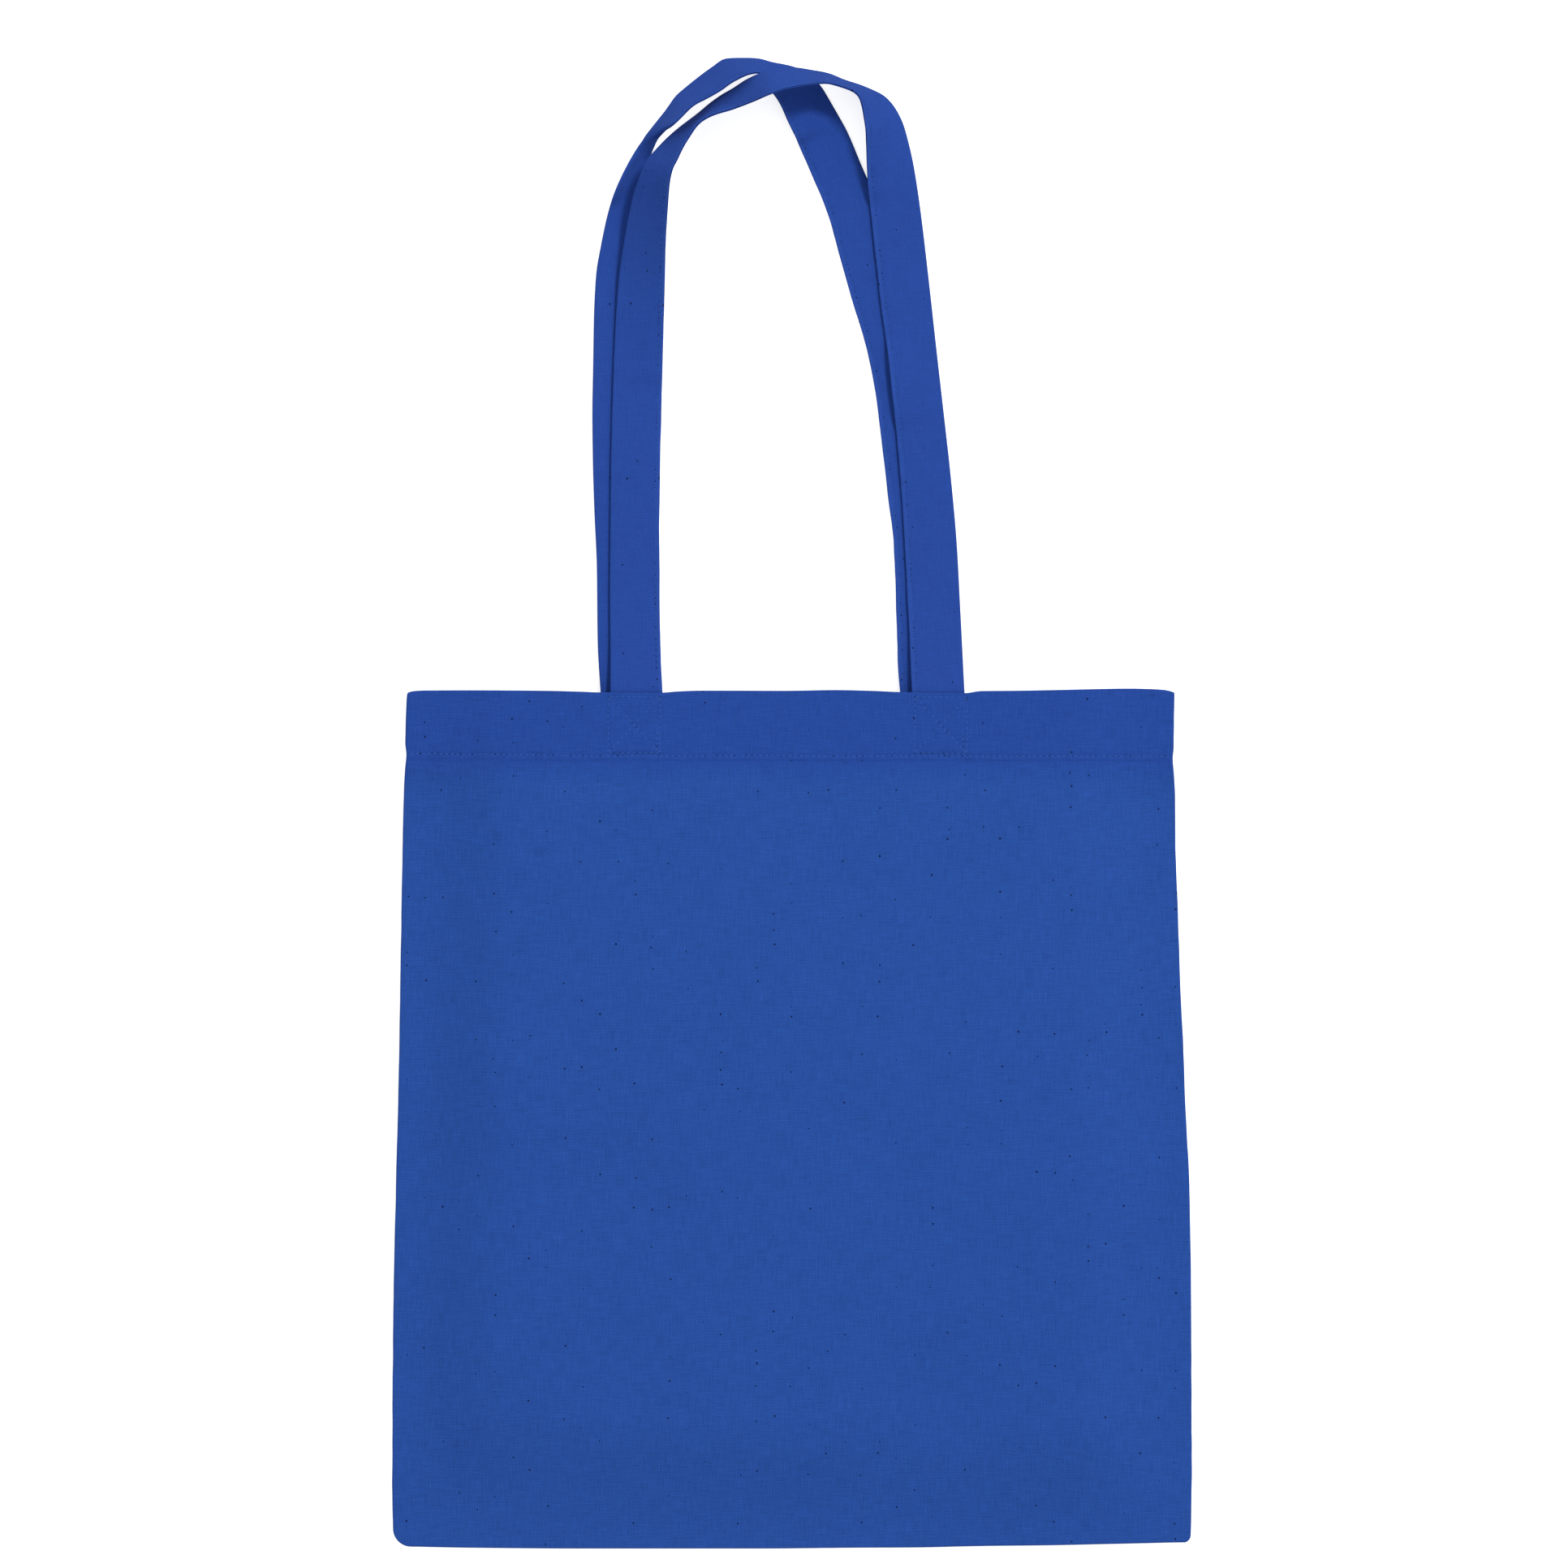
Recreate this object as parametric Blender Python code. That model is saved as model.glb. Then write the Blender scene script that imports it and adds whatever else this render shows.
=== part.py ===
"""Cotton tote bag with two long handles, lying flat on its back panel.

All lengths are in metres. X runs across the bag, Y up it from the bottom fold to the handles, and Z
off the surface it lies on. The origin is the middle of the outline, on that surface.
"""

import math

import bmesh
import bpy
from mathutils import Vector

# Bag panels
BODY_WIDTH = 0.389
MOUTH_WIDTH = 0.374
BODY_HEIGHT = 0.417
CORNER_RADIUS = 0.008
CLOTH = 0.0005
LAYER_GAP = 0.0003
SEAM_WIDTH = 0.009
SEAM_LAYERS = 4
POCKET_DEPTH = 0.0105
SIDE_CLIMB = 0.045
BOTTOM_CLIMB = 0.065

# Hem turned inwards round the mouth
HEM_DEPTH = 0.033
HEM_STITCH_INSET = 0.0018
HEM_FADE = 0.022
MOUTH_FREE = 0.0046

# Handles, each a folded strap sewn inside its own panel's hem
STRAP_WIDTH = 0.0255
STRAP_THICKNESS = 0.0012
STRAP_SPACING = 0.147
STRAP_FOLD = 0.0005
SLIT_DEPTH = 0.0018
SEWN_LENGTH = 0.0315
FRONT_RISE = 0.302
BACK_RISE = 0.3075
FRONT_SHIFT = -0.0026
BACK_SHIFT = -0.008
CROSSING_LIFT = 0.014

# Stitching
THREAD = 0.0004
STITCH_BAR = 0.0006
EDGE_STITCH_INSET = 0.0024
BOX_TOP_INSET = 0.0028
BOX_SIDE_INSET = 0.0006
BOX_END_INSET = 0.0015

# Clearance that touching pieces keep
FIT_GAP = 0.0003

# How finely the curved stretches are divided
CLIMB_STEPS = 5
FLAT_STEPS = 3
CORNER_STEPS = 3
BODY_STEPS = 6
STATION_STEPS = 3
LONGEST_STEP = 0.02
COLUMN_MARGIN = 0.002

# Places that follow from the sizes
BOTTOM_Y = -(BODY_HEIGHT + BACK_RISE) / 2
MOUTH_Y = BOTTOM_Y + BODY_HEIGHT
HEM_Y = MOUTH_Y - HEM_DEPTH
HEM_STITCH_Y = HEM_Y + HEM_STITCH_INSET
HEM_STACK = 2 * CLOTH + LAYER_GAP
HEM_LIFT = 2 * FIT_GAP + THREAD
MOUTH_TOP = HEM_LIFT + 2 * HEM_STACK + 2 * (STRAP_THICKNESS + FIT_GAP) + MOUTH_FREE
POCKET_TOP = 2 * CLOTH + POCKET_DEPTH
HALF_STRAP = STRAP_THICKNESS / 2
BACK_SEWN = HEM_LIFT + HEM_STACK + FIT_GAP + HALF_STRAP
FRONT_SEWN = MOUTH_TOP - HEM_STACK - FIT_GAP - HALF_STRAP
GROUND = HALF_STRAP
OVER = STRAP_THICKNESS + 2 * FIT_GAP + THREAD + HALF_STRAP
CROSSING = OVER + CROSSING_LIFT
CLIMBING = (OVER + CROSSING) / 2

# Each station of a handle gives its outer edge and how its width lies there: how far across in half
# spans, how far up as a share of the rise, which way the width points (0 is right, 90 is towards the
# bag, 180 is left), how steeply the inner edge is raised, and the height of the outer edge.
FRONT_STATIONS = (
    (-1.000, 0.277, 0, 0, OVER),
    (-0.976, 0.617, 3, 12, OVER),
    (-0.894, 0.774, 10, 39, CLIMBING),
    (-0.781, 0.855, 38, 58, CROSSING),
    (-0.642, 0.892, 50, 73, CLIMBING),
    (-0.532, 0.922, 50, 82, GROUND),
    (-0.385, 0.956, 56, 72, GROUND),
    (-0.229, 0.983, 66, 64, OVER),
    (-0.115, 0.993, 74, 68, CROSSING),
    (0.069, 1.000, 88, 74, CROSSING),
    (0.206, 0.996, 97, 78, CLIMBING),
    (0.367, 0.979, 115, 81, OVER),
    (0.527, 0.962, 150, 68, GROUND),
    (0.596, 0.944, 162, 56, GROUND),
    (0.642, 0.920, 165, 47, GROUND),
    (0.687, 0.878, 167, 37, OVER),
    (0.724, 0.842, 169, 24, OVER),
    (0.756, 0.774, 174, 14, OVER),
    (0.802, 0.656, 174, 0, OVER),
    (0.871, 0.486, 174, 0, OVER),
    (0.940, 0.310, 175, 0, OVER),
)
BACK_STATIONS = (
    (-1.013, 0.200, 0, 0, GROUND),
    (-1.022, 0.452, 0, 0, GROUND),
    (-1.022, 0.580, -4, 0, GROUND),
    (-0.990, 0.696, -12, 0, GROUND),
    (-0.921, 0.773, -40, 4, GROUND),
    (-0.884, 0.801, -45, 22, GROUND),
    (-0.852, 0.822, -41, 40, GROUND),
    (-0.761, 0.867, -26, 59, GROUND),
    (-0.687, 0.894, -5, 64, GROUND),
    (-0.619, 0.917, 13, 65, GROUND),
    (-0.548, 0.945, 26, 62, GROUND),
    (-0.417, 0.973, 43, 62, GROUND),
    (-0.289, 0.998, 54, 63, GROUND),
    (-0.188, 1.000, 76, 70, GROUND),
    (-0.096, 1.000, 95, 76, GROUND),
    (0.009, 0.994, 145, 72, GROUND),
    (0.110, 0.992, 170, 58, GROUND),
    (0.202, 0.988, 179, 46, GROUND),
    (0.248, 0.976, 180, 26, GROUND),
    (0.284, 0.955, 180, 12, GROUND),
    (0.321, 0.929, 177, 7, GROUND),
    (0.371, 0.899, 171, 8, GROUND),
    (0.440, 0.863, 163, 9, GROUND),
    (0.495, 0.824, 159, 8, GROUND),
    (0.568, 0.757, 162, 2, GROUND),
    (0.715, 0.632, 163, 0, GROUND),
    (0.852, 0.490, 166, 0, GROUND),
    (0.912, 0.375, 171, 0, GROUND),
    (0.970, 0.200, 176, 0, GROUND),
)


def ease(share):
    """0 to 1 with a level start and end."""
    share = min(max(share, 0.0), 1.0)
    return 0.5 - 0.5 * math.cos(math.pi * share)


def new_object(name, mesh, material):
    made = bpy.data.objects.new(name, mesh)
    bpy.context.scene.collection.objects.link(made)
    made.data.materials.append(material)
    return made


def new_material(name, colour, roughness):
    material = bpy.data.materials.new(name)
    material.use_nodes = True
    shader = material.node_tree.nodes["Principled BSDF"]
    shader.inputs["Base Color"].default_value = (*colour, 1)
    shader.inputs["Roughness"].default_value = roughness
    shader.inputs["Metallic"].default_value = 0.0
    return material


def skin_rings(bm, rings):
    """Faces between each ring and the next, and the rings' own vertices."""
    loops = [[bm.verts.new(point) for point in ring] for ring in rings]
    for low, high in zip(loops, loops[1:]):
        for here in range(len(low)):
            after = (here + 1) % len(low)
            bm.faces.new((low[here], low[after], high[after], high[here]))
    return loops


def finished_mesh(bm, name, smooth_angle):
    bmesh.ops.recalc_face_normals(bm, faces=bm.faces)
    mesh = bpy.data.meshes.new(name)
    bm.to_mesh(mesh)
    bm.free()
    mesh.shade_smooth()
    mesh.set_sharp_from_angle(angle=math.radians(smooth_angle))
    return mesh


# Bag


def half_width(y):
    """Half the bag's width, which swells from the mouth down."""
    swell = math.sin(math.pi / 2 * min(max((MOUTH_Y - y) / BODY_HEIGHT, 0.0), 1.0))
    return (MOUTH_WIDTH + (BODY_WIDTH - MOUTH_WIDTH) * (swell + swell**2) / 2) / 2


def side_edge(y):
    """The outline's half width, with the bottom corners rounded."""
    below = min(max(BOTTOM_Y + CORNER_RADIUS - y, 0.0), CORNER_RADIUS)
    return half_width(y) - CORNER_RADIUS + math.sqrt(CORNER_RADIUS**2 - below**2)


def hem_share(y):
    """0 on the open panels and 1 on the hem, where the cloth is doubled."""
    return ease((y - HEM_Y + HEM_FADE) / HEM_FADE)


def back_height(y):
    return HEM_LIFT * hem_share(y)


def front_height(x, y):
    """The front panel's outer face: low at the side seams and the bottom fold, level in between."""
    hem = hem_share(y)
    seam = back_height(y) + SEAM_LAYERS * CLOTH * (1 + hem)
    top = POCKET_TOP + (MOUTH_TOP - POCKET_TOP) * hem
    from_side = ease((half_width(y) - SEAM_WIDTH - abs(x)) / SIDE_CLIMB)
    from_bottom = ease((y - BOTTOM_Y) / BOTTOM_CLIMB)
    return seam + (top - seam) * from_side * from_bottom


def panel_columns(y, end):
    """Places across a panel from its right end to its left."""
    start = half_width(y) - max(SEAM_WIDTH, CORNER_RADIUS) - COLUMN_MARGIN
    climb = [start - SIDE_CLIMB * step / CLIMB_STEPS for step in range(CLIMB_STEPS + 1)]
    level = [climb[-1] * step / FLAT_STEPS for step in range(FLAT_STEPS - 1, 0, -1)]
    right = [end, (end + start) / 2, *climb, *level]
    return [*right, 0.0, *(-x for x in reversed(right))]


def bag_ring(y, depth, end):
    """Once round the bag at one height, a depth below its outer faces, to half width end."""
    columns = panel_columns(y, end)
    front = [(x, y, front_height(x, y) - depth) for x in columns]
    back = [(x, y, back_height(y) + depth) for x in reversed(columns)]
    return front + back


def close_end(bm, ring):
    """Joins the front half of a ring to its back half, as the bottom fold does."""
    for here in range(len(ring) // 2 - 1):
        bm.faces.new((ring[here], ring[here + 1], ring[-2 - here], ring[-1 - here]))


def panel_rows():
    """Heights of the rings above the rounded corners, closer where the panels curve."""
    low = BOTTOM_Y + CORNER_RADIUS
    climb = [low + (BOTTOM_CLIMB - CORNER_RADIUS) * step / 4 for step in range(1, 5)]
    gap = (HEM_Y - HEM_FADE - climb[-1]) / BODY_STEPS
    level = [climb[-1] + gap * step for step in range(1, BODY_STEPS + 1)]
    return [low, *climb, *level, HEM_Y - HEM_FADE / 2, HEM_Y]


def make_bag(material):
    """One folded and sewn sheet: outer faces, turned hem with its slot, and inner faces."""
    bm = bmesh.new()
    rows = panel_rows()
    turns = [math.pi / 2 * step / CORNER_STEPS for step in range(CORNER_STEPS)]
    corner = [BOTTOM_Y + CORNER_RADIUS * (1 - math.cos(turn)) for turn in turns]
    outside = [*corner, *rows, MOUTH_Y]
    inside = [BOTTOM_Y + CLOTH, *rows, MOUTH_Y - CLOTH]
    slot = CLOTH + LAYER_GAP

    def inner_end(y, depth):
        return min(half_width(y) - SEAM_WIDTH, side_edge(y)) - depth

    rings = [bag_ring(y, 0.0, side_edge(y)) for y in outside]
    rings += [bag_ring(y, HEM_STACK, inner_end(y, HEM_STACK)) for y in (MOUTH_Y, HEM_Y)]
    rings += [bag_ring(y, slot, inner_end(y, slot)) for y in (HEM_Y, MOUTH_Y - CLOTH)]
    rings += [bag_ring(y, CLOTH, inner_end(y, CLOTH)) for y in reversed(inside)]
    loops = skin_rings(bm, rings)
    close_end(bm, loops[0])
    close_end(bm, loops[-1])
    new_object("bag_body", finished_mesh(bm, "bag_body", 40), material)


# Handles


def slopes(places, values):
    """Slopes of a smooth curve through the values that never overshoots them."""
    steps = [b - a for a, b in zip(places, places[1:])]
    rises = [(b - a) / step for a, b, step in zip(values, values[1:], steps)]
    inner = []
    for left, right in zip(rises, rises[1:]):
        inner.append(0.0 if left * right <= 0 else 2 * left * right / (left + right))
    return [0.0, *inner, 0.0]


def between(places, values, tangents, part, share):
    """The curve's value a share of the way along one of its parts."""
    step = places[part + 1] - places[part]
    start, end = values[part], values[part + 1]
    leave, arrive = tangents[part] * step, tangents[part + 1] * step
    bend = share**2 * (3 - 2 * share)
    return (
        start
        + (end - start) * bend
        + leave * share * (1 - share) ** 2
        - arrive * share**2 * (1 - share)
    )


def handle_stations(stations, shift, rise, sewn):
    """Real places of a handle's stations, with a straight sewn end at each side."""
    half_span = (STRAP_SPACING + STRAP_WIDTH) / 2
    placed = [
        (shift + across * half_span, MOUTH_Y + up * rise, height, turn, lean)
        for across, up, turn, lean, height in stations
    ]
    left = (shift - half_span, MOUTH_Y, sewn, 0, 0)
    right = (shift + half_span, MOUTH_Y, sewn, 180, 0)
    return [left, *placed, right]


def handle_frames(stations, shift, rise, sewn):
    """Outer edge, width direction and face normal at each step along a handle."""
    knots = handle_stations(stations, shift, rise, sewn)
    places = [0.0]
    for before, after in zip(knots, knots[1:]):
        places.append(places[-1] + math.dist(before[:2], after[:2]))
    tracks = [list(track) for track in zip(*knots)]
    tangents = [slopes(places, track) for track in tracks]
    samples = []
    for part in range(len(knots) - 1):
        length = places[part + 1] - places[part]
        count = max(STATION_STEPS, math.ceil(length / LONGEST_STEP))
        for step in range(count):
            samples.append(
                [between(places, v, t, part, step / count) for v, t in zip(tracks, tangents)]
            )
    samples.append(list(knots[-1]))
    first, last = list(samples[0]), list(samples[-1])
    first[1] -= SEWN_LENGTH
    last[1] -= SEWN_LENGTH
    samples = [first, *samples, last]
    edges, widths = [], []
    for x, y, height, turn, lean in samples:
        turn, lean = math.radians(turn), math.radians(lean)
        level = math.cos(lean)
        edges.append(Vector((x, y, height)))
        widths.append(
            Vector((level * math.cos(turn), -level * math.sin(turn), math.sin(lean)))
        )
    middles = [edge + width * STRAP_WIDTH / 2 for edge, width in zip(edges, widths)]
    frames = []
    for here, (edge, width) in enumerate(zip(edges, widths)):
        ahead = middles[min(here + 1, len(middles) - 1)] - middles[max(here - 1, 0)]
        frames.append((edge, width, width.cross(ahead).normalized()))
    return frames


def strap_section():
    """A folded strap cut across: a round fold outside, and two turned edges with a slit inside."""
    top, far = HALF_STRAP, STRAP_WIDTH
    nose = top * 0.6
    lip = LAYER_GAP / 2
    upper = [
        (0.0, 0.0),
        (STRAP_FOLD, top),
        (far / 2, top),
        (far - EDGE_STITCH_INSET, top),
        (far - STRAP_FOLD, top),
        (far, nose),
        (far - STRAP_FOLD / 2, lip),
        (far - SLIT_DEPTH, 0.0),
    ]
    return upper + [(across, -up) for across, up in reversed(upper[1:-1])]


def make_handle(name, frames, material):
    bm = bmesh.new()
    section = strap_section()
    rings = [
        [edge + width * across + normal * up for across, up in section]
        for edge, width, normal in frames
    ]
    loops = skin_rings(bm, rings)
    bm.faces.new(loops[0])
    bm.faces.new(loops[-1])
    new_object(name, finished_mesh(bm, name, 40), material)


# Stitching


def thread_curve(name, points, closed, material):
    """A run of thread as a fine four-sided tube."""
    curve = bpy.data.curves.new(name, "CURVE")
    curve.dimensions = "3D"
    curve.bevel_depth = THREAD / 2
    curve.bevel_resolution = 0
    curve.use_fill_caps = not closed
    run = curve.splines.new("POLY")
    run.points.add(len(points) - 1)
    for point, place in zip(run.points, points):
        point.co = (*place, 1)
    run.use_cyclic_u = closed
    new_object(name, curve, material)


def make_hem_stitching(material):
    """The stitched line that holds the hem, all round the bag and just clear of its outer faces."""
    clear = FIT_GAP + THREAD / 2
    points = bag_ring(HEM_STITCH_Y, -clear, side_edge(HEM_STITCH_Y) + clear)
    thread_curve("hem_stitching", points, True, material)


def make_edge_stitching(name, frames, material):
    """The line that closes a strap's turned edges, from just outside the mouth round to the mouth."""
    across = STRAP_WIDTH - EDGE_STITCH_INSET
    up = HALF_STRAP + FIT_GAP + THREAD / 2
    run = [edge + width * across + normal * up for edge, width, normal in frames[2:-2]]
    thread_curve(name, run, False, material)


def make_cross_stitching(name, middle, low_face, material):
    """A sewn box with a cross in it, standing a thread's thickness off a level face."""
    half_x = STRAP_WIDTH / 2 - BOX_SIDE_INSET
    top = MOUTH_Y - BOX_TOP_INSET
    bottom = MOUTH_Y - SEWN_LENGTH + BOX_END_INSET
    half_y = (top - bottom) / 2
    centre_y = (top + bottom) / 2
    slant = math.hypot(half_x, half_y)
    reach_x = STITCH_BAR / 2 * slant / half_y
    reach_y = STITCH_BAR / 2 * slant / half_x
    inner_x, inner_y = half_x - STITCH_BAR, half_y - STITCH_BAR
    bm = bmesh.new()

    def corner(x, y):
        return bm.verts.new((middle + x, centre_y + y, low_face))

    signs = ((1, 1), (-1, 1), (-1, -1), (1, -1))
    outer = [corner(sx * half_x, sy * half_y) for sx, sy in signs]
    flat = [corner(sx * (inner_x - reach_x), sy * inner_y) for sx, sy in signs]
    steep = [corner(sx * inner_x, sy * (inner_y - reach_y)) for sx, sy in signs]
    tip_x, tip_y = half_x * reach_y / half_y, half_y * reach_x / half_x
    top_tip, left_tip, bottom_tip, right_tip = (
        corner(0, tip_y),
        corner(-tip_x, 0),
        corner(0, -tip_y),
        corner(tip_x, 0),
    )
    bm.faces.new((outer[0], outer[1], flat[1], flat[0]))
    bm.faces.new((outer[1], outer[2], steep[2], steep[1]))
    bm.faces.new((outer[2], outer[3], flat[3], flat[2]))
    bm.faces.new((outer[3], outer[0], steep[0], steep[3]))
    for here in range(4):
        bm.faces.new((outer[here], flat[here], steep[here]))
    bm.faces.new((flat[0], top_tip, right_tip, steep[0]))
    bm.faces.new((flat[1], steep[1], left_tip, top_tip))
    bm.faces.new((flat[2], bottom_tip, left_tip, steep[2]))
    bm.faces.new((flat[3], steep[3], right_tip, bottom_tip))
    bm.faces.new((top_tip, left_tip, bottom_tip, right_tip))
    raised = bmesh.ops.extrude_face_region(bm, geom=list(bm.faces))
    lifted = [part for part in raised["geom"] if isinstance(part, bmesh.types.BMVert)]
    bmesh.ops.translate(bm, verts=lifted, vec=(0, 0, THREAD))
    new_object(name, finished_mesh(bm, name, 30), material)


def make_panel_stitching(side, shift, low_face, material):
    for hand, sign in (("left", -1), ("right", 1)):
        middle = shift + sign * STRAP_SPACING / 2
        make_cross_stitching(f"cross_stitching_{side}_{hand}", middle, low_face, material)


def main():
    for old in list(bpy.data.objects):
        bpy.data.objects.remove(old)
    cotton = new_material("blue_cotton", (0.023, 0.080, 0.347), 0.92)
    strap_cotton = new_material("blue_strap_cotton", (0.022, 0.072, 0.330), 0.9)
    thread = new_material("blue_thread", (0.035, 0.105, 0.420), 0.6)
    make_bag(cotton)
    front = handle_frames(FRONT_STATIONS, FRONT_SHIFT, FRONT_RISE, FRONT_SEWN)
    back = handle_frames(BACK_STATIONS, BACK_SHIFT, BACK_RISE, BACK_SEWN)
    make_handle("front_handle", front, strap_cotton)
    make_handle("back_handle", back, strap_cotton)
    make_hem_stitching(thread)
    make_edge_stitching("front_handle_stitching", front, thread)
    make_edge_stitching("back_handle_stitching", back, thread)
    make_panel_stitching("front", FRONT_SHIFT, MOUTH_TOP + FIT_GAP, thread)
    make_panel_stitching("back", BACK_SHIFT, HEM_LIFT - FIT_GAP - THREAD, thread)


main()
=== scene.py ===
import bisect
import math

import bpy
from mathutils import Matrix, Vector, noise


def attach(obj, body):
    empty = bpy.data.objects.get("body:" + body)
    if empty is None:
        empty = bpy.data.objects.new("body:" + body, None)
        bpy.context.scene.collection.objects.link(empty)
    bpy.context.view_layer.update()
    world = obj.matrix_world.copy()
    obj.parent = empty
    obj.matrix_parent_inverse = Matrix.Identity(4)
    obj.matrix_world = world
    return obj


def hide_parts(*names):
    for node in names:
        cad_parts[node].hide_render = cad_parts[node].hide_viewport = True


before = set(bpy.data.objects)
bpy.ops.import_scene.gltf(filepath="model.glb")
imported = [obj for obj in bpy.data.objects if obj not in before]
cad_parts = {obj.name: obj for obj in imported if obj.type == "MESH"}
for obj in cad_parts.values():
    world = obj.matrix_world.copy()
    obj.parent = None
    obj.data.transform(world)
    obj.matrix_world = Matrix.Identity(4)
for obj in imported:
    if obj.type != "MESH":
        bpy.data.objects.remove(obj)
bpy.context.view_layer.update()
print("frame loaded:", len(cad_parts), "solids")


# small helpers used by every piece

smoothAngle = math.radians(50)


def ease(share):
    share = min(max(share, 0.0), 1.0)
    return 0.5 - 0.5 * math.cos(math.pi * share)


def bell(distance, width):
    return math.exp(-((distance / width) ** 2))


def slopesOf(places, values):
    # slopes of a curve through the values that never overshoots them
    steps = [b - a for a, b in zip(places, places[1:])]
    rises = [(b - a) / step for a, b, step in zip(values, values[1:], steps)]
    inner = [0.0 if a * b <= 0 else 2 * a * b / (a + b) for a, b in zip(rises, rises[1:])]
    return [0.0, *inner, 0.0]


def smoothTrack(knots):
    # a function of place that runs smoothly through (place, value) knots
    places = [knot[0] for knot in knots]
    values = [knot[1] for knot in knots]
    slopes = slopesOf(places, values)

    def valueAt(place):
        place = min(max(place, places[0]), places[-1])
        part = min(max(bisect.bisect_right(places, place) - 1, 0), len(places) - 2)
        step = places[part + 1] - places[part]
        share = (place - places[part]) / step
        bend = share * share * (3 - 2 * share)
        leave = slopes[part] * step * share * (1 - share) ** 2
        arrive = slopes[part + 1] * step * share * share * (1 - share)
        return values[part] + (values[part + 1] - values[part]) * bend + leave - arrive

    return valueAt


def ripple(x, y, length, seed):
    return noise.noise(Vector((x / length, y / length, seed)))


def makeObject(name, points, faces, material, mapPoints):
    mesh = bpy.data.meshes.new(name)
    mesh.from_pydata(points, [], faces)
    clothMap = mesh.uv_layers.new(name="clothMap")
    corners = [0] * len(mesh.loops)
    mesh.loops.foreach_get("vertex_index", corners)
    flat = []
    for corner in corners:
        flat.extend(mapPoints[corner])
    clothMap.data.foreach_set("uv", flat)
    mesh.materials.append(material)
    mesh.validate()
    made = bpy.data.objects.new(name, mesh)
    bpy.context.scene.collection.objects.link(made)
    bpy.ops.object.select_all(action="DESELECT")
    made.select_set(True)
    bpy.context.view_layer.objects.active = made
    bpy.ops.object.mode_set(mode="EDIT")
    bpy.ops.mesh.select_all(action="SELECT")
    bpy.ops.mesh.normals_make_consistent(inside=False)
    bpy.ops.object.mode_set(mode="OBJECT")
    bpy.ops.object.shade_smooth_by_angle(angle=smoothAngle)
    return made


def rippled(x, y, waves, seedShift=0.0):
    high, length, seed = waves
    return high * ripple(x, y, length, seed + seedShift)


def addPatch(faces, corners, flip):
    # adds a face, or a triangle where two of its corners are the same point
    face = [corner for place, corner in enumerate(corners) if corner not in corners[:place]]
    if len(face) > 2:
        faces.append(face[::-1] if flip else face)


def skinRings(rings, faces):
    for low, high in zip(rings, rings[1:]):
        size = len(low)
        for here in range(size):
            after = (here + 1) % size
            faces.append((low[here], low[after], high[after], high[here]))


# materials

clothLook = {
    "colour": (0.0225, 0.0800, 0.352), "roughness": 1.0, "sheen": 0.012, "sheenRoughness": 0.5,
    "threadPitch": 0.00055, "threadWander": 2.7, "wanderScale": 150.0,
    # painted shade: the last entry below darkens the cloth where its yarns dip and lightens their crowns
    "yarnDip": 0.45, "meanRise": 0.52, "weaveHollowShade": 0.34,
    "yarnStep": 0.83, "warpSeed": 3.0, "weftSeed": 9.0, "streakLength": 18.0,
    "toneRange": 0.40, "toneRelief": 0.8, "mottle": 0.09, "mottleScale": 22.0, "patchScale": 160.0,
    "speckCell": 0.0085, "speckSize": 0.052, "speckSmallest": 0.4, "speckCore": 0.6,
    "speckShare": 0.82, "speckColour": (0.004, 0.010, 0.045),
    "bumpDepth": 0.00016, "bumpStrength": 0.6,
}
# bands of another shade across the cloth map: start, end, how softly they begin and end, colour
clothLook["bands"] = (
    # painted shade: the hem and the cloth just below it are painted darker and more violet, fading in
    # downwards
    (0.0090, 0.0800, 0.0120, (0.0205, 0.0690, 0.334)),
    # painted shadow: a darker line along the foot of the hem's step
    (0.0200, 0.0213, 0.0009, (0.0190, 0.0640, 0.317)),
)
strapLook = dict(clothLook, colour=(0.0225, 0.0690, 0.340), toneRange=0.26, speckShare=0.86)
strapLook["bands"] = ((0.0226, 0.0300, 0.0006, (0.0255, 0.0760, 0.360)),)
threadLook = {
    "colour": (0.037, 0.116, 0.440), "roughness": 0.75, "sheen": 0.03,
    # the needle holes' near-black colour is painted shade
    "holeShadeColour": (0.003, 0.009, 0.040), "holeRoughness": 0.95,
    "plyScale": 2600.0, "plyRange": (0.3, 0.7), "darkShare": 0.72, "paleShare": 1.22,
    "bumpDepth": 0.0001, "bumpStrength": 0.4,
}
edgeThreadLook = dict(threadLook, colour=(0.027, 0.088, 0.385))
mattSpecular = 0.06


def addNode(tree, kind, inputs=(), **settings):
    made = tree.nodes.new("ShaderNode" + kind)
    for name, value in settings.items():
        setattr(made, name, value)
    for place, value in enumerate(inputs):
        if isinstance(value, bpy.types.NodeSocket):
            tree.links.new(value, made.inputs[place])
        elif value is not None:
            made.inputs[place].default_value = value
    return made


def maths(tree, operation, *inputs):
    return addNode(tree, "Math", inputs, operation=operation).outputs[0]


def vectorMaths(tree, operation, *inputs):
    return addNode(tree, "VectorMath", inputs, operation=operation).outputs[0]


def scaled(tree, vector, scale):
    return vectorMaths(tree, "SCALE", vector, None, None, scale)


def blendValue(tree, share, low, high):
    # low where share is 0 and high where it is 1
    return maths(tree, "MULTIPLY_ADD", share, maths(tree, "SUBTRACT", high, low), low)


def blendColour(tree, share, low, high):
    mix = addNode(tree, "Mix", data_type="RGBA")
    tree.links.new(share, mix.inputs["Factor"])
    # only a Mix node's colour sockets are used
    for socket, value in zip([s for s in mix.inputs if s.type == "RGBA"], (low, high)):
        if isinstance(value, bpy.types.NodeSocket):
            tree.links.new(value, socket)
        else:
            socket.default_value = (*value, 1.0)
    return [s for s in mix.outputs if s.type == "RGBA"][0]


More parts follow.
